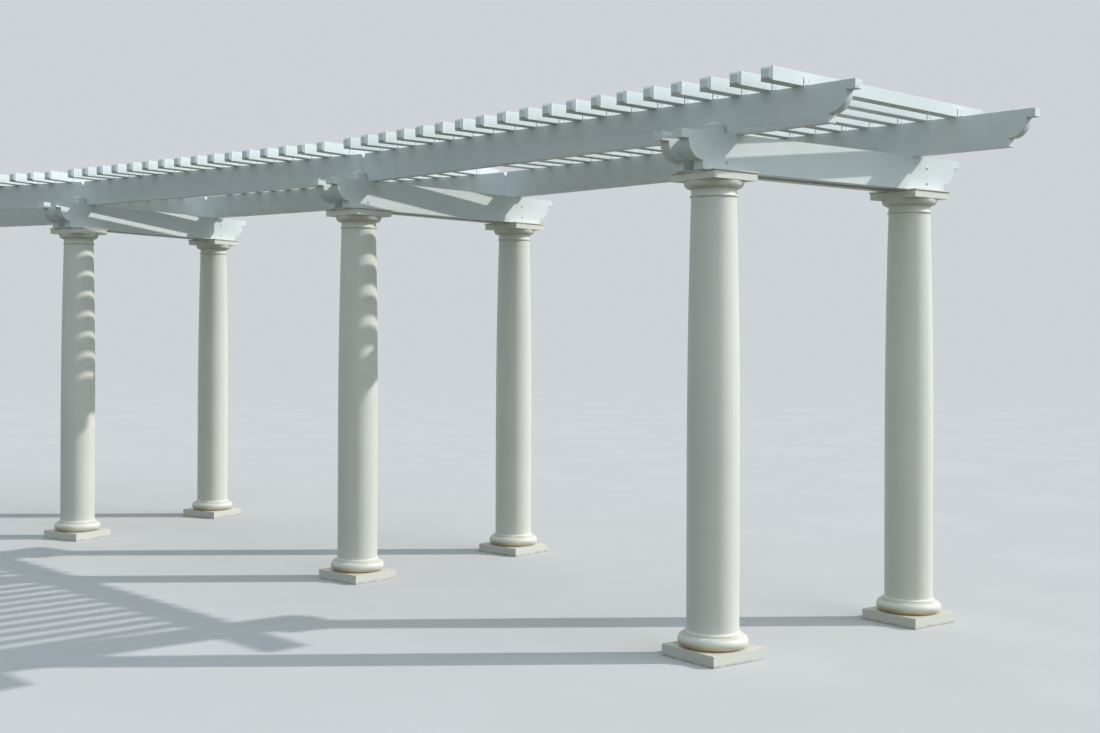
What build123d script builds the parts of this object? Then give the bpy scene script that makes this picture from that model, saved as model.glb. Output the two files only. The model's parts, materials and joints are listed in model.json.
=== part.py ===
from build123d import *
import os
from math import cos, radians, sin, tan

os.makedirs("parts", exist_ok=True)

# A pergola that follows an arc: pairs of columns stand on radial lines, and every bay between them is straight.
# All sizes are in millimetres, angles in degrees. +X runs along the middle bay, +Y from the inner row to the outer row.

# Plan
bay_count = 3
bay_turn = 11.25
near_span = 3320
row_spacing = 1770

# Columns
column_height = 2740
shaft_foot_diameter = 296
shaft_head_diameter = 256
shaft_wall = 12
straight_height = 1150
foot_ring_reach = 15
foot_ring_height = 9
foot_flare = 13
collar_reach = 8
collar_height = 11
collar_cove = 5
ring_fit = 0.3

# Bases
plinth_side = 404
plinth_height = 67
torus_diameter = 396
torus_height = 73

# Capitals
abacus_side = 343
abacus_height = 50
abacus_lip = 6.5
abacus_lip_height = 7
echinus_diameter = 338
echinus_edge = 5
echinus_height = 36
echinus_reach = 26
neck_fillet = 5
neck_height = 34
neck_flare = 6
neck_wall = 7

# Posts that stand in the columns
post_size = 84
post_rise = 77
post_cap_rise = 20
post_cap_slope = 26
post_cap_edge = 8
post_groove = 2.5

# Twin boards across each pair of columns
board_height = 212
board_thickness = 70
board_overhang = 363

# Long beams
beam_height = 213
beam_thickness = 65
beam_overhang = 885
beam_post_gap = 0.5
beam_joint_gap = 20
beam_joint_round = 20

# Shaped ends of boards and beams
end_top_fillet = 50
end_low_fillet = 49
end_step = 53
end_setback = 161
end_quirk = 5

# Rafters
rafter_height = 75
rafter_width = 75
rafter_overhang = 222
rafters_between = 16
rafter_margin = 144
end_rafter_pitch = 205
end_rafter_count = 19
end_rafter_margin = 117
cap_depth = 12
cap_lip = 2
cap_crown = 18
cap_slope = 40

# Angle clips that hold the rafters to the beams
clip_height = 48
clip_foot = 32
clip_width = 56
clip_gauge = 3

# Values that follow from the sizes above
pair_count = bay_count + 1
half_turn = radians(bay_turn / 2)
near_radius = near_span / 2 / sin(half_turn)
far_radius = near_radius + row_spacing
near_line = near_radius * cos(half_turn)
far_line = far_radius * cos(half_turn)
base_height = plinth_height + torus_height
capital_height = abacus_height + echinus_edge + echinus_height + neck_fillet + neck_height
neck_foot = column_height - capital_height
collar_foot = neck_foot - collar_height - collar_cove
board_top = column_height + board_height
beam_top = board_top + beam_height
post_top = board_top + post_rise
post_cap_foot = post_top - post_cap_rise - post_cap_edge
foot_radius = shaft_foot_diameter / 2
head_radius = shaft_head_diameter / 2
# The beams turn a little against the posts, so each stands off by what the post's corner needs.
beam_offset = post_size / 2 * (1 + tan(half_turn)) + beam_post_gap
pair_half_width = post_size / 2 + board_thickness
cap_rim_width = rafter_width + 2 * cap_lip
cap_rim_height = rafter_height + cap_lip


def pair_angle(pair):
    """Angle from +Y of a pair's radial line. Pair 0 is at the +X end."""
    return radians(((pair_count - 1) / 2 - pair) * bay_turn)


def bay_angle(bay):
    """Angle from +Y of the line square to a bay."""
    return (pair_angle(bay) + pair_angle(bay + 1)) / 2


# The arc's centre lies on the -Y side, so far away that the whole pergola is centred on the origin.
smallest_angle = min(abs(pair_angle(pair)) for pair in range(pair_count))
largest_angle = pair_angle(0)
far_reach = (far_radius + board_overhang) * cos(smallest_angle) + pair_half_width * sin(smallest_angle)
near_reach = (near_radius - board_overhang) * cos(largest_angle) - pair_half_width * sin(largest_angle)
arc_centre_y = -(far_reach + near_reach) / 2


def plan_plane(angle, radius, height):
    """Level plane at a height. Its origin lies on the radial line, x runs along the pergola and y away from the arc."""
    origin = (radius * sin(angle), arc_centre_y + radius * cos(angle), height)
    return Plane(origin=origin, x_dir=(cos(angle), -sin(angle), 0), z_dir=(0, 0, 1))


def length_plane(angle, radius, height):
    """Upright plane with x along the pergola and y upwards. It faces the arc's centre."""
    origin = (radius * sin(angle), arc_centre_y + radius * cos(angle), height)
    return Plane(origin=origin, x_dir=(cos(angle), -sin(angle), 0), z_dir=(-sin(angle), -cos(angle), 0))


def cross_plane(angle, along, height):
    """Upright plane on the radial line, moved along the pergola. x runs away from the arc's centre, y upwards."""
    origin = (along * cos(angle), arc_centre_y - along * sin(angle), height)
    return Plane(origin=origin, x_dir=(sin(angle), cos(angle), 0), z_dir=(cos(angle), -sin(angle), 0))


def draw_shaped_end(end, side, height):
    """Outline of a board's end from its top corner to its foot. side is 1 at the x end of the board and -1 at the other."""
    step = end - side * end_step
    low = end - side * end_setback
    drop = height - end_top_fillet
    Polyline((end, height), (end, drop), (step, drop))
    EllipticalCenterArc(
        center=(low + side * end_quirk, drop),
        x_radius=end_setback - end_step - end_quirk,
        y_radius=drop - end_low_fillet,
        start_angle=270 if side > 0 else 180,
        arc_size=90,
    )
    Polyline((low + side * end_quirk, end_low_fillet), (low, end_low_fillet), (low, 0))


def rafter_places(bay):
    """Distances along a bay, from its middle, of the rafters' middle planes."""
    start = -near_span / 2 + rafter_margin + rafter_width / 2
    if 0 < bay < bay_count - 1:
        pitch = -2 * start / (rafters_between - 1)
        return [start + number * pitch for number in range(rafters_between)]
    start = -near_span / 2 + end_rafter_margin + rafter_width / 2
    places = [start + number * end_rafter_pitch for number in range(end_rafter_count)]
    return places if bay == 0 else [-place for place in places]


# Columns: a hollow shaft with a moulded foot ring and collar, set in a square base and under a square capital
rows = {"near": near_radius, "far": far_radius}
for pair in range(pair_count):
    angle = pair_angle(pair)

    for row, radius in rows.items():
        upright = length_plane(angle, radius, 0)
        with BuildPart() as shaft:
            with BuildSketch(upright):
                with BuildLine():
                    Line((foot_radius - shaft_wall, 0), (foot_radius, 0))
                    Line((foot_radius, 0), (foot_radius, base_height))
                    Polyline(
                        (foot_radius, base_height),
                        (foot_radius + foot_ring_reach, base_height),
                        (foot_radius + foot_ring_reach, base_height + foot_ring_height),
                        (foot_radius + foot_flare, base_height + foot_ring_height),
                    )
                    RadiusArc(
                        (foot_radius + foot_flare, base_height + foot_ring_height),
                        (foot_radius, base_height + foot_ring_height + foot_flare),
                        foot_flare,
                    )
                    Line((foot_radius, base_height + foot_ring_height + foot_flare), (foot_radius, straight_height))
                    TangentArc((foot_radius, straight_height), (head_radius, collar_foot), tangent=(0, 1))
                    RadiusArc(
                        (head_radius, collar_foot),
                        (head_radius + collar_cove, collar_foot + collar_cove),
                        collar_cove,
                    )
                    ThreePointArc(
                        (head_radius + collar_cove, collar_foot + collar_cove),
                        (head_radius + collar_reach, neck_foot - collar_height / 2),
                        (head_radius + collar_cove, neck_foot),
                    )
                    Polyline(
                        (head_radius + collar_cove, neck_foot),
                        (head_radius - neck_wall, neck_foot),
                        (head_radius - neck_wall, column_height),
                        (head_radius - shaft_wall, column_height),
                        (head_radius - shaft_wall, collar_foot),
                    )
                    TangentArc(
                        (foot_radius - shaft_wall, straight_height),
                        (head_radius - shaft_wall, collar_foot),
                        tangent=(0, 1),
                    )
                    Line((foot_radius - shaft_wall, straight_height), (foot_radius - shaft_wall, 0))
                make_face()
            revolve(axis=Axis(upright.origin, (0, 0, 1)))
        shaft.part.label = f"shaft_{row}_{pair + 1}"
        export_step(shaft.part, f"parts/shaft_{row}_{pair + 1}.step")

    with BuildPart() as bases:
        for radius in rows.values():
            with BuildSketch(plan_plane(angle, radius, 0)):
                Rectangle(plinth_side, plinth_side)
                Circle(foot_radius + ring_fit, mode=Mode.SUBTRACT)
            extrude(amount=plinth_height)
            upright = length_plane(angle, radius, 0)
            with BuildSketch(upright):
                with BuildLine():
                    Polyline(
                        (torus_diameter / 2 - torus_height / 2, base_height),
                        (foot_radius + ring_fit, base_height),
                        (foot_radius + ring_fit, plinth_height),
                        (torus_diameter / 2 - torus_height / 2, plinth_height),
                    )
                    ThreePointArc(
                        (torus_diameter / 2 - torus_height / 2, plinth_height),
                        (torus_diameter / 2, plinth_height + torus_height / 2),
                        (torus_diameter / 2 - torus_height / 2, base_height),
                    )
                make_face()
            revolve(axis=Axis(upright.origin, (0, 0, 1)))
    bases.part.label = f"bases_pair_{pair + 1}"
    export_step(bases.part, f"parts/bases_pair_{pair + 1}.step")

    with BuildPart() as capitals:
        for radius in rows.values():
            bore = head_radius - neck_wall + ring_fit
            with BuildSketch(plan_plane(angle, radius, column_height - abacus_height)):
                Rectangle(abacus_side, abacus_side)
                Circle(bore, mode=Mode.SUBTRACT)
            extrude(amount=abacus_height - abacus_lip_height)
            with BuildSketch(plan_plane(angle, radius, column_height - abacus_lip_height)):
                Rectangle(abacus_side + 2 * abacus_lip, abacus_side + 2 * abacus_lip)
                Circle(bore, mode=Mode.SUBTRACT)
            extrude(amount=abacus_lip_height)
            upright = length_plane(angle, radius, 0)
            abacus_foot = column_height - abacus_height
            echinus_foot = abacus_foot - echinus_edge - echinus_height
            edge_radius = echinus_diameter / 2
            with BuildSketch(upright):
                with BuildLine():
                    Polyline(
                        (bore, abacus_foot),
                        (edge_radius, abacus_foot),
                        (edge_radius, abacus_foot - echinus_edge),
                    )
                    EllipticalCenterArc(
                        center=(edge_radius - echinus_reach, abacus_foot - echinus_edge),
                        x_radius=echinus_reach,
                        y_radius=echinus_height,
                        start_angle=270,
                        arc_size=90,
                    )
                    Polyline(
                        (edge_radius - echinus_reach, echinus_foot),
                        (head_radius + neck_flare, echinus_foot),
                        (head_radius + neck_flare, echinus_foot - neck_fillet),
                        (head_radius, echinus_foot - neck_fillet),
                        (head_radius, neck_foot + neck_flare),
                    )
                    RadiusArc(
                        (head_radius, neck_foot + neck_flare),
                        (head_radius + neck_flare, neck_foot),
                        -neck_flare,
                    )
                    Polyline((head_radius + neck_flare, neck_foot), (bore, neck_foot), (bore, abacus_foot))
                make_face()
            revolve(axis=Axis(upright.origin, (0, 0, 1)))
    capitals.part.label = f"capitals_pair_{pair + 1}"
    export_step(capitals.part, f"parts/capitals_pair_{pair + 1}.step")

    with BuildPart() as posts:
        for radius in rows.values():
            with BuildSketch(plan_plane(angle, radius, 0)):
                Rectangle(post_size, post_size)
            extrude(amount=post_cap_foot - post_groove)
            with BuildSketch(plan_plane(angle, radius, post_cap_foot - post_groove)):
                Rectangle(post_size - 2 * post_groove, post_size - 2 * post_groove)
            extrude(amount=post_groove)
            with BuildSketch(plan_plane(angle, radius, post_cap_foot)):
                Rectangle(post_size, post_size)
            extrude(amount=post_top - post_cap_foot)
        top_edges = posts.faces().filter_by(Axis.Z).group_by(Axis.Z)[-1].edges()
        chamfer(top_edges, length=post_cap_rise, length2=post_cap_slope)
    posts.part.label = f"posts_pair_{pair + 1}"
    export_step(posts.part, f"parts/posts_pair_{pair + 1}.step")

    # Two boards, one each side of the posts, lie on the capitals
    with BuildPart() as cross_boards:
        for along in (post_size / 2, -post_size / 2 - board_thickness):
            with BuildSketch(cross_plane(angle, along, column_height)):
                with BuildLine():
                    near_end = near_radius - board_overhang
                    far_end = far_radius + board_overhang
                    Line((near_end, board_height), (far_end, board_height))
                    draw_shaped_end(far_end, 1, board_height)
                    Line((far_end - end_setback, 0), (near_end + end_setback, 0))
                    draw_shaped_end(near_end, -1, board_height)
                make_face()
            extrude(amount=board_thickness)
    cross_boards.part.label = f"cross_boards_pair_{pair + 1}"
    export_step(cross_boards.part, f"parts/cross_boards_pair_{pair + 1}.step")

# Long beams: on the inner side of each row's posts, one length a bay, with a mitred joint over each middle pair
beam_faces = {"near": near_line + beam_offset, "far": far_line - beam_offset - beam_thickness}
for bay in range(bay_count):
    angle = bay_angle(bay)
    for row, face in beam_faces.items():
        back = face + beam_thickness
        column_along = rows[row] * sin(half_turn)
        # Each end of the straight stretch: at the outermost column, or mitred beside the next length
        corners = []
        for side, outermost in ((-1, bay == bay_count - 1), (1, bay == 0)):
            for depth in (face, back):
                joint = depth * tan(half_turn) - beam_joint_gap / 2
                corners.append((side * (column_along if outermost else joint), depth))
        with BuildPart() as beam:
            with BuildSketch(plan_plane(angle, 0, board_top)):
                with BuildLine():
                    Polyline(corners[0], corners[2], corners[3], corners[1], close=True)
                make_face()
            extrude(amount=beam_height)
            for side, outermost in ((-1, bay == bay_count - 1), (1, bay == 0)):
                if outermost:
                    root = side * column_along
                    end = root + side * beam_overhang
                    with BuildSketch(length_plane(angle, face, board_top)):
                        with BuildLine():
                            draw_shaped_end(end, side, beam_height)
                            Polyline(
                                (end - side * end_setback, 0),
                                (root, 0),
                                (root, beam_height),
                                (end, beam_height),
                            )
                        make_face()
                    extrude(amount=-beam_thickness)
                else:
                    top_edges = beam.faces().sort_by(Axis.Z)[-1].edges()
                    along_beam = Axis((0, 0, 0), (cos(angle), -sin(angle), 0))
                    fillet(top_edges.sort_by(along_beam)[0 if side < 0 else -1], radius=beam_joint_round)
        beam.part.label = f"long_beam_{row}_bay_{bay + 1}"
        export_step(beam.part, f"parts/long_beam_{row}_bay_{bay + 1}.step")

# Rafters lie across both beams, each with a cap on both ends and a clip at both beams
for bay in range(bay_count):
    angle = bay_angle(bay)
    places = rafter_places(bay)
    near_end = near_line - rafter_overhang
    far_end = far_line + rafter_overhang
    near_tube = near_end + cap_depth
    far_tube = far_end - cap_depth

    with BuildPart() as rafters:
        for place in places:
            with BuildSketch(cross_plane(angle, place - rafter_width / 2, beam_top)):
                with BuildLine():
                    Polyline(
                        (near_tube, 0),
                        (far_tube, 0),
                        (far_tube, rafter_height),
                        (near_tube, rafter_height),
                        close=True,
                    )
                make_face()
            extrude(amount=rafter_width)
    rafters.part.label = f"rafters_bay_{bay + 1}"
    export_step(rafters.part, f"parts/rafters_bay_{bay + 1}.step")

    with BuildPart() as rafter_caps:
        rims = [(place, cap_rim_height / 2) for place in places]
        for end, inward in ((near_end, 1), (far_end, -1)):
            with BuildSketch(length_plane(angle, end + inward * cap_depth, beam_top)):
                with Locations(*rims):
                    Rectangle(cap_rim_width, cap_rim_height)
            extrude(amount=inward * cap_depth)
            # The crown narrows from the rim to a smaller flat face
            with BuildSketch(length_plane(angle, end, beam_top)):
                with Locations(*rims):
                    Rectangle(cap_rim_width, cap_rim_height)
            extrude(amount=inward * cap_crown, taper=cap_slope)
    rafter_caps.part.label = f"rafter_caps_bay_{bay + 1}"
    export_step(rafter_caps.part, f"parts/rafter_caps_bay_{bay + 1}.step")

    with BuildPart() as rafter_clips:
        for place in places:
            side = place + rafter_width / 2
            for face in beam_faces.values():
                middle = face + beam_thickness / 2
                with BuildSketch(length_plane(angle, middle + clip_width / 2, beam_top)):
                    with BuildLine():
                        Polyline(
                            (side, 0),
                            (side + clip_foot, 0),
                            (side + clip_foot, clip_gauge),
                            (side + clip_gauge, clip_gauge),
                            (side + clip_gauge, clip_height),
                            (side, clip_height),
                            close=True,
                        )
                    make_face()
                extrude(amount=clip_width)
    rafter_clips.part.label = f"rafter_clips_bay_{bay + 1}"
    export_step(rafter_clips.part, f"parts/rafter_clips_bay_{bay + 1}.step")
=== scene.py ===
import json
import random
from itertools import product
from math import cos, pi, radians, sin

import bmesh
import bpy
from mathutils import Matrix, Vector


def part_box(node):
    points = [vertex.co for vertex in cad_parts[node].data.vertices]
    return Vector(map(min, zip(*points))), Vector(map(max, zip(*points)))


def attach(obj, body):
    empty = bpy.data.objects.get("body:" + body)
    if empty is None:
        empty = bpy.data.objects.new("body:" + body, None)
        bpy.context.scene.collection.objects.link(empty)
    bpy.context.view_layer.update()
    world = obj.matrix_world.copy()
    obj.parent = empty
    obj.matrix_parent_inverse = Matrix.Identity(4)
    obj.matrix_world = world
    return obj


# A pergola on an arc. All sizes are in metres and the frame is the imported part's.
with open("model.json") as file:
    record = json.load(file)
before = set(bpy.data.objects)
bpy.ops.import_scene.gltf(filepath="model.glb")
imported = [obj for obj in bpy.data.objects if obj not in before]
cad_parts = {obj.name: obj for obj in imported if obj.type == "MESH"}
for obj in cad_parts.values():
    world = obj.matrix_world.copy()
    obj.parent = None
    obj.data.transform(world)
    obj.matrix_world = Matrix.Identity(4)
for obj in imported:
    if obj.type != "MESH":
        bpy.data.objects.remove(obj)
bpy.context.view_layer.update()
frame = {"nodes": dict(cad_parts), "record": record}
nodes = frame["nodes"]
PAIRS = (1, 2, 3, 4)
MIDDLE_PAIRS = PAIRS[1:-1]
BAYS = (1, 2, 3)
ROWS = ("near", "far")
UP = Vector((0.0, 0.0, 1.0))

# Camera, fitted to the photograph
CAMERA_PLACE = (8.5812, -8.3502, 1.8333)
CAMERA_TURN = radians(37.50)
CAMERA_PITCH = radians(0.232)
CAMERA_ROLL = radians(0.210)
CAMERA_REACH = 300.0
LENS_MM = 45.708
SENSOR_MM = 36.0
SHIFT = (0.0834, -0.0364)

# A sun from the right and behind, as the shadows in the photograph show, and an even bluish sky
SUN_FROM = Vector((0.625, 0.528, 0.575))
SUN_STRENGTH = 2.5
SUN_ANGLE = radians(0.8)
SUN_COLOUR = (1.0, 0.98, 0.93)
# The bright haze round the sun
GLOW_FROM = Vector((0.80, 0.05, 0.60))
GLOW_STRENGTH = 0.90
GLOW_ANGLE = radians(60)
GLOW_COLOUR = (0.86, 0.96, 1.0)
SKY_STRENGTH = 0.57
SKY_COLOUR = (0.74, 0.90, 0.97)
BACKDROP_STRENGTH = 1.0
BACKDROP_COLOUR = (0.62, 0.65, 0.68)

# The floor fades into the backdrop between the two distances
FLOOR_RADIUS = 90.0
FLOOR_SIDES = 96
FLOOR_FADE = (12.0, 50.0)
FLOOR_COLOUR = (0.620, 0.601, 0.609)
FLOOR_CLOUDS = 0.96
# What the floor throws back up at the object, kept low and warm
FLOOR_BOUNCE = (0.090, 0.079, 0.038)


# Node helpers
def opaque(colour):
    """A colour's red, green and blue with a full alpha."""
    return (*colour, 1.0)


class Nodes:
    """Adds nodes to a tree. Most methods return the socket that the new node gives."""

    def __init__(self, tree):
        self.tree = tree
        tree.nodes.clear()

    def add(self, kind, **values):
        node = self.tree.nodes.new(kind)
        for key, value in values.items():
            setattr(node, key, value)
        return node

    def plug(self, socket, value):
        """Links a socket to another, or sets its value. None leaves it as it is."""
        if isinstance(value, bpy.types.NodeSocket):
            self.tree.links.new(value, socket)
        elif value is not None:
            socket.default_value = value

    def sums(self, operation, a, b):
        node = self.add("ShaderNodeMath", operation=operation)
        self.plug(node.inputs[0], a)
        self.plug(node.inputs[1], b)
        return node.outputs[0]

    def times(self, a, b):
        return self.sums("MULTIPLY", a, b)

    def seen(self):
        """1 for rays that show the picture: camera, glossy and transmission rays."""
        rays = self.add("ShaderNodeLightPath").outputs
        seen = self.sums("MAXIMUM", rays["Is Camera Ray"], rays["Is Glossy Ray"])
        return self.sums("MAXIMUM", seen, rays["Is Transmission Ray"])

    def mixed_shaders(self, share, first, second):
        node = self.add("ShaderNodeMixShader")
        self.plug(node.inputs[0], share)
        self.plug(node.inputs[1], first)
        self.plug(node.inputs[2], second)
        return node.outputs[0]

    def show(self, output_kind, surface):
        output = self.add(output_kind)
        self.plug(output.inputs["Surface"], surface)


class Shader(Nodes):
    """Builds the nodes of one material, in the object's own place and size."""

    HOLLOW_SAMPLES = 8

    def __init__(self, name):
        self.material = bpy.data.materials.new(name)
        self.material.use_nodes = True
        super().__init__(self.material.node_tree)
        self.place = self.add("ShaderNodeNewGeometry").outputs["Position"]

    def scaled(self, scale):
        node = self.add("ShaderNodeVectorMath", operation="MULTIPLY")
        self.plug(node.inputs[0], self.place)
        node.inputs[1].default_value = scale
        return node.outputs[0]

    def noise(self, scale, detail=3.0, rough=0.55, at=None, warp=0.0):
        node = self.add("ShaderNodeTexNoise")
        self.plug(node.inputs["Vector"], at or self.place)
        node.inputs["Scale"].default_value = scale
        node.inputs["Detail"].default_value = detail
        node.inputs["Roughness"].default_value = rough
        node.inputs["Distortion"].default_value = warp
        return node.outputs["Fac"]

    def spots(self, scale):
        node = self.add("ShaderNodeTexVoronoi")
        self.plug(node.inputs["Vector"], self.place)
        node.inputs["Scale"].default_value = scale
        return node.outputs["Distance"]

    def span(self, value, low, high, to_low=0.0, to_high=1.0):
        """Maps low to high smoothly onto to_low to to_high."""
        node = self.add("ShaderNodeMapRange", interpolation_type="SMOOTHSTEP")
        self.plug(node.inputs["Value"], value)
        node.inputs["From Min"].default_value = low
        node.inputs["From Max"].default_value = high
        node.inputs["To Min"].default_value = to_low
        node.inputs["To Max"].default_value = to_high
        return node.outputs["Result"]

    def mixed(self, share, a, b):
        node = self.add("ShaderNodeMix", data_type="RGBA")
        self.plug(node.inputs["Factor"], share)
        self.plug(node.inputs["A"], a)
        self.plug(node.inputs["B"], b)
        return node.outputs["Result"]

    def height(self):
        """Height above the ground."""
        node = self.add("ShaderNodeSeparateXYZ")
        self.plug(node.inputs[0], self.place)
        return node.outputs["Z"]

    def facing(self, axis):
        """How far the surface faces along an axis, from -1 to 1."""
        node = self.add("ShaderNodeSeparateXYZ")
        geometry = self.add("ShaderNodeNewGeometry")
        self.plug(node.inputs[0], geometry.outputs["True Normal"])
        return node.outputs[axis]

    def edges(self):
        """1 along convex edges."""
        geometry = self.add("ShaderNodeNewGeometry")
        return self.span(geometry.outputs["Pointiness"], 0.50, 0.56)

    def hollows(self, distance):
        """Near 1 in corners and under ledges."""
        node = self.add("ShaderNodeAmbientOcclusion", samples=self.HOLLOW_SAMPLES)
        node.inputs["Distance"].default_value = distance
        return self.sums("SUBTRACT", 1.0, node.outputs["AO"])

    def bump(self, height, distance, strength, after=None):
        node = self.add("ShaderNodeBump")
        node.inputs["Strength"].default_value = strength
        node.inputs["Distance"].default_value = distance
        self.plug(node.inputs["Height"], height)
        self.plug(node.inputs["Normal"], after)
        return node.outputs["Normal"]

    def finish(self, colour, roughness, normal=None, metallic=0.0):
        shader = self.add("ShaderNodeBsdfPrincipled")
        self.plug(shader.inputs["Base Color"], colour)
        self.plug(shader.inputs["Roughness"], roughness)
        self.plug(shader.inputs["Normal"], normal)
        shader.inputs["Metallic"].default_value = metallic
        self.show("ShaderNodeOutputMaterial", shader.outputs[0])
        return self.material


# Paints. Each tint multiplies the clean paint.
DARKER = (0.86, 0.89, 0.91)
WARMER = (0.96, 0.93, 0.86)
STRETCHED_DOWN = (4.0, 4.0, 0.35)
# How far the painted shade in the corners reaches
CORNER_SHADE_REACH = 0.05
WAVE_HEIGHT = 0.0012
TEXTURE_HEIGHT = 0.0005


def tinted(paint, tint):
    return opaque(channel * factor for channel, factor in zip(paint, tint))


def weathered_paint(name, paint, grime_and_shade, roughness, mottling, corner_shade_share):
    """Outdoor paint or vinyl: faint clouds, fine specks, runs under ledges, and painted shade in the
    corners.
    """
    s = Shader(name)
    darker = tinted(paint, DARKER)
    warmer = tinted(paint, WARMER)
    grime_and_shade = opaque(grime_and_shade)
    clouds = s.span(s.noise(1.3, 4.0, 0.6), 0.35, 0.68)
    colour = s.mixed(s.times(clouds, mottling), opaque(paint), darker)
    blotches = s.span(s.noise(9.0, 4.0, 0.65, warp=0.6), 0.42, 0.72)
    colour = s.mixed(s.times(blotches, mottling * 0.45), colour, warmer)
    runs = s.span(s.noise(6.0, 3.0, 0.6, at=s.scaled(STRETCHED_DOWN)), 0.46, 0.74)
    colour = s.mixed(s.times(runs, mottling * 0.35), colour, darker)
    specks = s.span(s.spots(70.0), 0.10, 0.05)
    rare = s.span(s.noise(14.0, 1.0), 0.52, 0.58)
    colour = s.mixed(s.times(s.times(specks, rare), 0.45), colour, grime_and_shade)
    # Painted shade: corners and spots under ledges darken towards the grime colour, in patches
    corner = s.span(s.hollows(CORNER_SHADE_REACH), 0.30, 0.85)
    patchy = s.span(s.noise(22.0, 4.0, 0.6), 0.30, 0.75, 0.35, 1.0)
    colour = s.mixed(s.times(s.times(corner, patchy), corner_shade_share), colour, grime_and_shade)
    rough = s.span(s.noise(30.0, 3.0), 0.3, 0.7, roughness - 0.06, roughness + 0.08)
    waves = s.bump(s.noise(5.0, 2.0, 0.4), WAVE_HEIGHT, 0.5)
    normal = s.bump(s.noise(320.0, 2.0, 0.5), TEXTURE_HEIGHT, 0.55, after=waves)
    return s, colour, rough, normal


def plain_paint(*look):
    s, colour, rough, normal = weathered_paint(*look)
    return s.finish(colour, rough, normal)


# Dirt on the columns and a painted shadow line under the cap's lip, with the heights between which each
# kind sets in or fades
SOIL = (0.27, 0.22, 0.16)
SPLASH_EDGE = (0.006, -0.010)
SPLASH_RAGGEDNESS = 0.026
YELLOW_STAIN = (0.62, 0.49, 0.27)
STAIN_SETS_IN = (0.066, 0.072)
STAIN_FADES = (0.114, 0.084)
DUST = (0.58, 0.49, 0.38)
DUST_FADES = (2.7, 2.5)
# Tones of the painted shadow line under the cap's lip
BROWN_LIP_SHADE = (0.30, 0.23, 0.16)
GREEN_LIP_SHADE = (0.34, 0.34, 0.20)
# Height of the underside of the lip round each cap
LIP_FOOT = 2.733
# Heights between which the painted shadow line under the lip sets in and fades
LIP_SHADOW_SETS_IN = (LIP_FOOT - 0.006, LIP_FOOT - 0.003)
LIP_SHADOW_FADES = (LIP_FOOT + 0.002, LIP_FOOT)


def soil_splash(s, ragged):
    """Soil splashed up the plinth's foot, in a thin ragged line."""
    edge = s.sums("ADD", s.height(), s.times(ragged, -SPLASH_RAGGEDNESS))
    patches = s.span(s.noise(34.0, 3.0, 0.6), 0.32, 0.60)
    return s.times(s.span(edge, *SPLASH_EDGE), patches)


def torus_stain(s, ragged):
    """A stain low on the torus, heaviest on the side towards the garden."""
    low = s.times(s.span(s.height(), *STAIN_SETS_IN), s.span(s.height(), *STAIN_FADES))
    side = s.times(s.span(s.facing("Y"), 0.35, -0.45), s.span(s.facing("X"), 0.85, 0.35, 0.35, 1.0))
    return s.times(s.times(low, side), s.span(ragged, 0.25, 0.55, 0.6, 1.0))


def ledge_dust(s):
    """Dust on the ledges."""
    ledge = s.times(s.span(s.facing("Z"), 0.6, 0.95), s.span(s.height(), *DUST_FADES))
    return s.times(ledge, s.span(s.noise(12.0, 4.0, 0.65), 0.30, 0.62, 0.35, 1.0))


def lip_shadow_line(s):
    """A painted shadow line in a thin band under the lip of the cap."""
    line = s.times(s.span(s.height(), *LIP_SHADOW_SETS_IN), s.span(s.height(), *LIP_SHADOW_FADES))
    patches = s.span(s.noise(7.0, 4.0, 0.65), 0.36, 0.58, 0.25, 1.0)
    return s.times(line, patches)


def column_paint(*look):
    """Painted moulded columns, stained near the ground and dusty on the ledges, with a painted shadow
    line under the cap's lip.
    """
    s, colour, rough, normal = weathered_paint(*look)
    ragged = s.noise(16.0, 4.0, 0.6)
    colour = s.mixed(s.times(soil_splash(s, ragged), 0.55), colour, opaque(SOIL))
    colour = s.mixed(s.times(torus_stain(s, ragged), 0.85), colour, opaque(YELLOW_STAIN))
    colour = s.mixed(s.times(ledge_dust(s), 0.70), colour, opaque(DUST))
    # A painted shadow line under the cap's lip, brown in some places and green in others
    which = s.span(s.noise(3.0, 1.0), 0.45, 0.55)
    lip_shade_tone = s.mixed(which, opaque(BROWN_LIP_SHADE), opaque(GREEN_LIP_SHADE))
    colour = s.mixed(s.times(lip_shadow_line(s), 0.75), colour, lip_shade_tone)
    return s.finish(colour, rough, normal)


# Metals
WORN_EDGE = (0.42, 0.40, 0.37)
# Colour of the painted shade on the clips' edges that face the arc's inner side
CLIP_EDGE_SHADE = (0.09, 0.085, 0.075)
ZINC_LIGHT = (0.74, 0.77, 0.77)
ZINC_DULL = (0.60, 0.61, 0.60)
RUST = (0.36, 0.28, 0.20)
RUST_REACH = 0.012
ZINC_BUMP = 0.0003
SCREW_LIGHT = (0.50, 0.50, 0.48)
SCREW_DARK = (0.33, 0.31, 0.28)


def clip_metal(*look):
    """White coated steel, worn on its edges, with painted shade on the edges that face the arc's inner
    side.
    """
    s, colour, rough, normal = weathered_paint(*look)
    worn = s.times(s.edges(), s.span(s.noise(90.0, 3.0), 0.45, 0.60))
    colour = s.mixed(s.times(worn, 0.5), colour, opaque(WORN_EDGE))
    # Painted shade, in patches, on the edges that look out of the arc's inner side, away from the sun
    patches = s.span(s.noise(60.0, 2.0), 0.20, 0.45, 0.6, 1.0)
    edge_shade = s.times(s.span(s.facing("Y"), -0.85, -0.95), patches)
    colour = s.mixed(edge_shade, colour, opaque(CLIP_EDGE_SHADE))
    return s.finish(colour, rough, normal)


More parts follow.
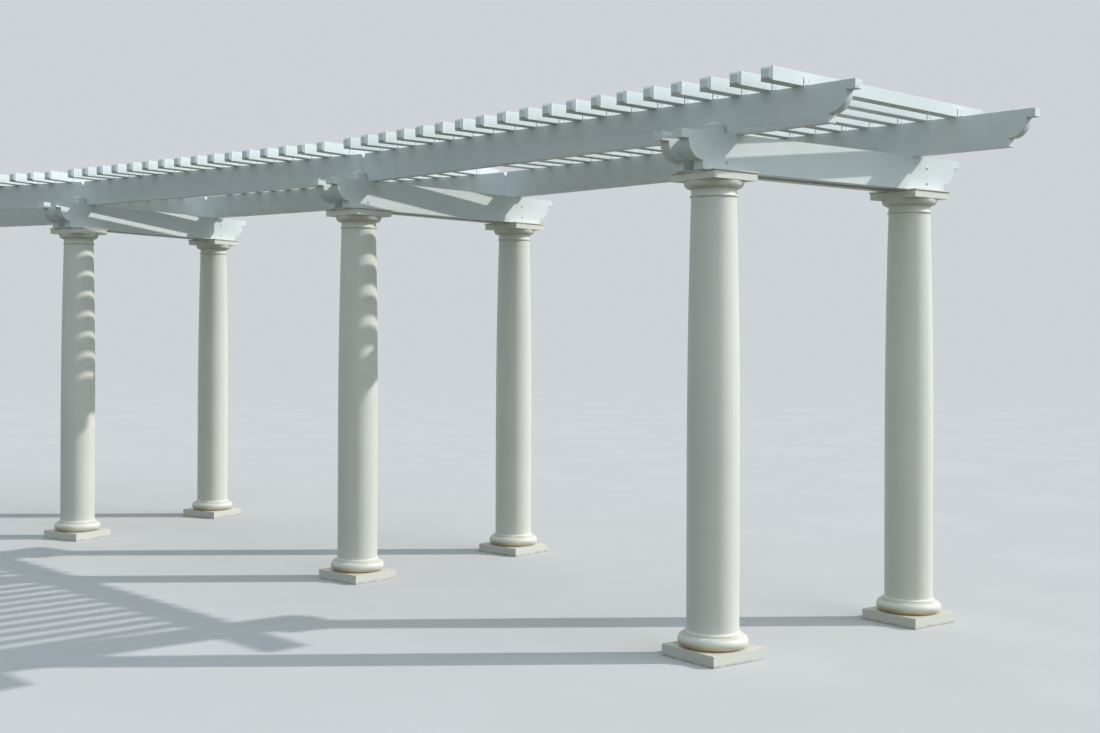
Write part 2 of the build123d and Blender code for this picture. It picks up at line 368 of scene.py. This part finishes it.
def bolt_metal():
    """Zinc plate, dulled outdoors, with rust beginning in the corners."""
    s = Shader("bolt_metal")
    tone = s.span(s.noise(140.0, 4.0, 0.7), 0.35, 0.68)
    colour = s.mixed(tone, opaque(ZINC_LIGHT), opaque(ZINC_DULL))
    corner = s.span(s.hollows(RUST_REACH), 0.25, 0.7)
    rust = s.times(corner, s.span(s.noise(60.0, 3.0), 0.42, 0.62))
    colour = s.mixed(s.times(rust, 0.2), colour, opaque(RUST))
    rough = s.span(s.noise(200.0, 2.0), 0.3, 0.7, 0.42, 0.62)
    normal = s.bump(s.noise(400.0, 2.0), ZINC_BUMP, 0.5)
    return s.finish(colour, rough, normal, metallic=0.15)


def screw_metal():
    """Dull dark steel."""
    s = Shader("screw_metal")
    tone = s.span(s.noise(500.0, 3.0, 0.7), 0.35, 0.68)
    colour = s.mixed(tone, opaque(SCREW_LIGHT), opaque(SCREW_DARK))
    rough = s.span(s.noise(700.0, 2.0), 0.3, 0.7, 0.45, 0.65)
    return s.finish(colour, rough, metallic=0.5)


# Each look is the material's name, its clean colour, the colour of its grime specks and of its painted
# corner shade, its roughness, and how strong the mottling and the painted corner shade are
SLOT_MATERIALS = {
    "column": column_paint("column_paint", (0.85, 0.83, 0.765), (0.36, 0.32, 0.25), 0.46, 0.40, 0.55),
    "post": plain_paint("post_paint", (0.82, 0.84, 0.81), (0.34, 0.33, 0.26), 0.55, 0.50, 0.60),
    "board": plain_paint("board_paint", (0.80, 0.84, 0.85), (0.33, 0.33, 0.29), 0.42, 0.55, 0.45),
    "rafter": plain_paint("rafter_paint", (0.78, 0.83, 0.85), (0.33, 0.32, 0.28), 0.40, 0.40, 0.40),
    "cap": plain_paint("cap_plastic", (0.86, 0.91, 0.94), (0.28, 0.30, 0.30), 0.38, 0.45, 0.55),
    "clip": clip_metal("clip_metal", (0.78, 0.82, 0.83), (0.30, 0.28, 0.24), 0.38, 0.50, 0.40),
}

# Dressing of the CAD nodes
SAME_POINT = 0.00002
BEVEL_SEGMENTS = 2
BEVEL_ABOVE = radians(38)
# Width of the softened edges, by the first word of a node's name
SOFT_EDGES = {
    "posts": 0.003,
    "cross": 0.0025,
    "long": 0.0025,
    "rafters": 0.0025,
    "bases": 0.003,
    "capitals": 0.0015,
}


def soften(node, width):
    """Rounds a node's sharp edges a little with modifiers that leave its own mesh as it is."""
    weld = node.modifiers.new("weld", "WELD")
    weld.merge_threshold = SAME_POINT
    bevel = node.modifiers.new("bevel", "BEVEL")
    bevel.width = width
    bevel.segments = BEVEL_SEGMENTS
    bevel.limit_method = "ANGLE"
    bevel.angle_limit = BEVEL_ABOVE
    bevel.harden_normals = True


def dress_nodes():
    slot_of = {row["node"]: row["material_slot"] for row in frame["record"]["subparts"]}
    for name, node in nodes.items():
        for slot in node.material_slots:
            slot.material = SLOT_MATERIALS[slot_of[name]]
        width = SOFT_EDGES.get(name.split("_")[0])
        if width:
            soften(node, width)


dress_nodes()


# Places read from the frame
def middle(name):
    low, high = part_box(name)
    return (low + high) / 2


def level(point, height=0.0):
    """The point, moved straight up or down to a height."""
    return Vector((point.x, point.y, height))


def extent(node, direction):
    """How wide a node is in a direction."""
    reaches = [vert.co.dot(direction) for vert in node.data.vertices]
    return max(reaches) - min(reaches)


class Pair:
    """A pair of columns. out runs from the near column to the far one, and along towards pair 1."""

    def __init__(self, number):
        self.centres = {row: level(middle(f"shaft_{row}_{number}")) for row in ROWS}
        self.out = (self.centres["far"] - self.centres["near"]).normalized()
        self.along = Vector((self.out.y, -self.out.x, 0.0))
        board = nodes[f"cross_boards_pair_{number}"]
        offsets = [vert.co - self.centres["near"] for vert in board.data.vertices]
        self.board_face = max(offset.dot(self.along) for offset in offsets)
        self.board_foot, self.board_top = (corner.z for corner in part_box(board.name))


pairs = {number: Pair(number) for number in PAIRS}


def bay_axes(bay):
    """Directions along a bay, towards pair 1, and out of the arc."""
    along = (pairs[bay].centres["near"] - pairs[bay + 1].centres["near"]).normalized()
    return along, Vector((-along.y, along.x, 0.0))


# Small pieces, made as one mesh of many
SHARP_ABOVE = radians(35)


def make_piece(name, mesh_maker, material):
    mesh = bpy.data.meshes.new(name)
    bm = bmesh.new()
    mesh_maker(bm)
    bm.to_mesh(mesh)
    bm.free()
    mesh.materials.append(material)
    piece = bpy.data.objects.new(name, mesh)
    bpy.context.scene.collection.objects.link(piece)
    for face in mesh.polygons:
        face.use_smooth = True
    mesh.set_sharp_from_angle(angle=SHARP_ABOVE)
    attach(piece, "root")


def turned(bm, profile, where, axis, sides, turn=0.0):
    """A turned shape, from rings of (radius, distance along the axis) with a point at each end."""
    place = Matrix.Translation(where) @ axis.to_track_quat("Z", "Y").to_matrix().to_4x4()
    angles = [turn + 2 * pi * step / sides for step in range(sides)]
    rings = []
    for radius, along in profile:
        points = [Vector((radius * cos(angle), radius * sin(angle), along)) for angle in angles]
        if radius == 0.0:
            points = [Vector((0.0, 0.0, along))]
        rings.append([bm.verts.new(place @ point) for point in points])
    for lower, upper in zip(rings, rings[1:]):
        for step in range(sides):
            after = (step + 1) % sides
            if len(lower) == 1:
                bm.faces.new((lower[0], upper[after], upper[step]))
            elif len(upper) == 1:
                bm.faces.new((lower[step], lower[after], upper[0]))
            else:
                bm.faces.new((lower[step], lower[after], upper[after], upper[step]))


# Bolts through the boards and the posts, each with a washer, a nut and the bolt's end on both sides.
# Their depths are shares of the board's, from its top. The near posts show only the lower bolt.
BOLT_DEPTHS = {"near": (0.78,), "far": (0.32, 0.78)}
BOLT_DEPTH_CHANCE = 0.02
# How far the bolts stand off the post's middle, outwards from the arc's centre
BOLT_SHIFTS = {("near", 1): -0.014, ("far", 1): 0.028, ("far", 2): -0.030}
BOLT_SHIFT_CHANCE = 0.02
BOLT_SEED = 11
BOLT_RADIUS = 0.0034
BOLT_PAST_NUT = 0.0025
BOLT_IN_NUT = 0.0005
BOLT_CHAMFER = 0.0006
BOLT_SIDES = 14
WASHER_RADIUS = 0.0115
WASHER_THICKNESS = 0.0014
WASHER_EDGE = WASHER_THICKNESS * 0.7
WASHER_CHAMFER = 0.0007
WASHER_SIDES = 28
NUT_RADIUS = 0.0062
NUT_THICKNESS = 0.0042
NUT_EDGE_DROP = 0.0006
NUT_CHAMFER = 0.0009
NUT_SIDES = 6


def bolt_end(bm, where, axis, turn):
    washer = [(0.0, 0.0), (WASHER_RADIUS, 0.0), (WASHER_RADIUS, WASHER_EDGE)]
    washer += [(WASHER_RADIUS - WASHER_CHAMFER, WASHER_THICKNESS), (0.0, WASHER_THICKNESS)]
    turned(bm, washer, where, axis, WASHER_SIDES)
    foot = WASHER_THICKNESS
    top = foot + NUT_THICKNESS
    nut = [(0.0, foot), (NUT_RADIUS, foot), (NUT_RADIUS, top - NUT_EDGE_DROP)]
    nut += [(NUT_RADIUS - NUT_CHAMFER, top), (0.0, top)]
    turned(bm, nut, where, axis, NUT_SIDES, turn)
    start = top - BOLT_IN_NUT
    end = top + BOLT_PAST_NUT
    stub = [(0.0, start), (BOLT_RADIUS, start), (BOLT_RADIUS, end - BOLT_CHAMFER)]
    stub += [(BOLT_RADIUS - BOLT_CHAMFER, end), (0.0, end)]
    turned(bm, stub, where, axis, BOLT_SIDES)


def all_bolts(bm):
    chance = random.Random(BOLT_SEED)
    for number, pair in pairs.items():
        board_depth = pair.board_top - pair.board_foot
        for row, centre in pair.centres.items():
            # The draw is made for every post, also where the shift is known
            any_shift = chance.uniform(-BOLT_SHIFT_CHANCE, BOLT_SHIFT_CHANCE)
            shift = BOLT_SHIFTS.get((row, number), any_shift)
            for depth in BOLT_DEPTHS[row]:
                share = depth + chance.uniform(-BOLT_DEPTH_CHANCE, BOLT_DEPTH_CHANCE)
                height = pair.board_top - share * board_depth
                for side in (1, -1):
                    where = level(centre + pair.out * shift + pair.along * side * pair.board_face, height)
                    bolt_end(bm, where, pair.along * side, chance.uniform(0.0, pi / 3))


make_piece("board_bolts", all_bolts, bolt_metal())


# Screws through the clips: two into each rafter's side and one down into the beam
CLIP_GAUGE = 0.003
SCREW_RADIUS = 0.0028
SCREW_RISE = 0.0022
SCREW_SIDES = 10
# Shares of a screw's radius and rise at the rings of its head, from the edge to the hollow in the middle
SCREW_PROFILE = ((0.0, 0.0), (1.0, 0.0), (0.92, 0.55), (0.6, 1.0), (0.28, 1.0), (0.0, 0.45))
# Places on a clip: depths from its front, a height from its foot, and a distance from its back
SIDE_SCREW_DEPTHS = (0.013, 0.043)
SIDE_SCREW_HEIGHT = 0.026
FOOT_SCREW_DEPTH = 0.028
FOOT_SCREW_FROM_BACK = 0.020
SCREW_DEPTH_CHANCE = 0.003
SCREW_HEIGHT_CHANCE = 0.004
SCREW_SEED = 23


def islands(node):
    """The corner points of each separate solid of a node."""
    bm = bmesh.new()
    bm.from_mesh(node.data)
    bmesh.ops.remove_doubles(bm, verts=bm.verts, dist=SAME_POINT)
    waiting = set(bm.verts)
    solids = []
    for start in list(bm.verts):
        if start not in waiting:
            continue
        waiting.discard(start)
        solid = [start]
        for vert in solid:
            for edge in vert.link_edges:
                other = edge.other_vert(vert)
                if other in waiting:
                    waiting.discard(other)
                    solid.append(other)
        solids.append([vert.co.copy() for vert in solid])
    bm.free()
    return solids


def screw(bm, where, axis):
    head = [(SCREW_RADIUS * width, SCREW_RISE * rise) for width, rise in SCREW_PROFILE]
    turned(bm, head, where, axis, SCREW_SIDES)


def all_screws(bm):
    chance = random.Random(SCREW_SEED)
    for bay in BAYS:
        along, out = bay_axes(bay)
        for corners in islands(nodes[f"rafter_clips_bay_{bay}"]):
            back = min(corner.dot(along) for corner in corners)
            front = min(corner.dot(out) for corner in corners)
            foot = min(corner.z for corner in corners)
            for depth in SIDE_SCREW_DEPTHS:
                depth += chance.uniform(-SCREW_DEPTH_CHANCE, SCREW_DEPTH_CHANCE)
                height = foot + SIDE_SCREW_HEIGHT
                height += chance.uniform(-SCREW_HEIGHT_CHANCE, SCREW_HEIGHT_CHANCE)
                on_leg = along * (back + CLIP_GAUGE) + out * (front + depth)
                screw(bm, level(on_leg, height), along)
            on_foot = along * (back + FOOT_SCREW_FROM_BACK) + out * (front + FOOT_SCREW_DEPTH)
            screw(bm, level(on_foot, foot + CLIP_GAUGE), UP)


make_piece("clip_screws", all_screws, screw_metal())


# Strips that close the joints of the long beams over the middle pairs, set back from the beams' faces
BEAM_FROM_POST = 0.0047
STRIP_SET_BACK = 0.0015
STRIP_WIDTH = 0.022
STRIP_BELOW_TOP = 0.030
BOX_FACES = ((0, 1, 3, 2), (4, 6, 7, 5), (0, 4, 5, 1), (2, 3, 7, 6), (0, 2, 6, 4), (1, 5, 7, 3))


def box_of(bm, centre, spans):
    """A box round a centre. Each span is a direction and a length."""
    corners = []
    for shares in product((-0.5, 0.5), repeat=3):
        offset = Vector()
        for (direction, length), share in zip(spans, shares):
            offset += direction * length * share
        corners.append(bm.verts.new(centre + offset))
    for loop in BOX_FACES:
        bm.faces.new([corners[number] for number in loop])


def joint_strips(bm):
    beam = nodes["long_beam_near_bay_2"]
    foot, top = (corner.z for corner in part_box(beam.name))
    height = top - STRIP_BELOW_TOP - foot
    thickness = extent(beam, bay_axes(2)[1])
    for number in MIDDLE_PAIRS:
        pair = pairs[number]
        post = extent(nodes[f"posts_pair_{number}"], pair.along)
        reach = post / 2 + BEAM_FROM_POST + thickness / 2
        spans = ((pair.along, STRIP_WIDTH), (pair.out, thickness - 2 * STRIP_SET_BACK), (UP, height))
        for row, way in (("near", 1), ("far", -1)):
            centre = level(pair.centres[row] + pair.out * way * reach, foot + height / 2)
            box_of(bm, centre, spans)


make_piece("joint_strips", joint_strips, SLOT_MATERIALS["rafter"])


# Floor, sky, lamps and camera
def floor_material():
    s = Shader("floor")
    tone = s.span(s.noise(0.7, 5.0, 0.6), 0.3, 0.7)
    darker = opaque(channel * FLOOR_CLOUDS for channel in FLOOR_COLOUR)
    colour = s.mixed(s.seen(), opaque(FLOOR_BOUNCE), s.mixed(tone, opaque(FLOOR_COLOUR), darker))
    diffuse = s.add("ShaderNodeBsdfDiffuse")
    s.plug(diffuse.inputs["Color"], colour)
    clear = s.add("ShaderNodeBsdfTransparent")
    distance = s.add("ShaderNodeVectorMath", operation="LENGTH")
    s.plug(distance.inputs[0], s.place)
    share = s.span(distance.outputs["Value"], *FLOOR_FADE)
    s.show("ShaderNodeOutputMaterial", s.mixed_shaders(share, diffuse.outputs[0], clear.outputs[0]))
    return s.material


def make_floor():
    mesh = bpy.data.meshes.new("floor")
    bm = bmesh.new()
    bmesh.ops.create_circle(bm, cap_ends=True, segments=FLOOR_SIDES, radius=FLOOR_RADIUS)
    bm.to_mesh(mesh)
    bm.free()
    mesh.materials.append(floor_material())
    floor = bpy.data.objects.new("floor", mesh)
    bpy.context.scene.collection.objects.link(floor)


def background(sky, colour, strength):
    node = sky.add("ShaderNodeBackground")
    node.inputs["Color"].default_value = opaque(colour)
    node.inputs["Strength"].default_value = strength
    return node.outputs[0]


def make_sky():
    """The camera and the glossy surfaces see the backdrop. The sky only gives light."""
    world = bpy.data.worlds.new("sky")
    world.use_nodes = True
    sky = Nodes(world.node_tree)
    light = background(sky, SKY_COLOUR, SKY_STRENGTH)
    backdrop = background(sky, BACKDROP_COLOUR, BACKDROP_STRENGTH)
    sky.show("ShaderNodeOutputWorld", sky.mixed_shaders(sky.seen(), light, backdrop))
    bpy.context.scene.world = world


def make_lamp(name, comes_from, strength, angle, colour):
    lamp = bpy.data.lights.new(name, "SUN")
    lamp.energy = strength
    lamp.angle = angle
    lamp.color = colour
    holder = bpy.data.objects.new(name, lamp)
    holder.rotation_mode = "QUATERNION"
    holder.rotation_quaternion = comes_from.to_track_quat("Z", "Y")
    bpy.context.scene.collection.objects.link(holder)


def make_camera():
    data = bpy.data.cameras.new("camera")
    data.lens = LENS_MM
    data.sensor_width = SENSOR_MM
    data.shift_x, data.shift_y = SHIFT
    data.clip_end = CAMERA_REACH
    camera = bpy.data.objects.new("camera", data)
    look = Matrix.Rotation(CAMERA_TURN, 4, "Z") @ Matrix.Rotation(pi / 2 + CAMERA_PITCH, 4, "X")
    camera.matrix_world = Matrix.Translation(CAMERA_PLACE) @ look @ Matrix.Rotation(CAMERA_ROLL, 4, "Z")
    bpy.context.scene.collection.objects.link(camera)
    bpy.context.scene.camera = camera


make_floor()
make_sky()
make_lamp("sun", SUN_FROM, SUN_STRENGTH, SUN_ANGLE, SUN_COLOUR)
make_lamp("glow", GLOW_FROM, GLOW_STRENGTH, GLOW_ANGLE, GLOW_COLOUR)
make_camera()
bpy.context.scene.view_settings.view_transform = "Standard"
